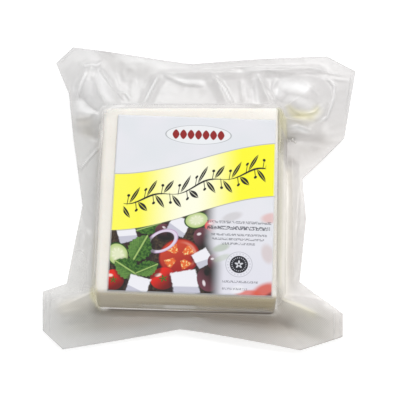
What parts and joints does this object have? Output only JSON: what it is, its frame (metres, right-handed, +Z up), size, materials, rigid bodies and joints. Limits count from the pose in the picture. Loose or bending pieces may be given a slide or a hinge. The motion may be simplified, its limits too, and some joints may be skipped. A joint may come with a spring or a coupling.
{
  "type": "vacuum-packed feta block",
  "caption": "Square block of white brined cheese sealed in a clear vacuum pouch with wide crumpled ears, lying flat, with a printed label on its top face.",
  "frame": {"origin": "middle of the pouch's plan, on the surface that it lies on", "axes": "+X to the right and +Y away from the near edge, with the label read from the near side; +Z up from the surface that it lies on"},
  "size_m": [0.162, 0.1694, 0.0266],
  "materials": {
    "film": "clear glossy film over white cheese, faintly yellow where whey stands",
    "cheese": "moist, creamy white, faintly grained",
    "label": "printed paper with a satin varnish"
  },
  "bodies": {
    "root": {"pouch": "film", "label": "label"}
  },
  "joints": []
}
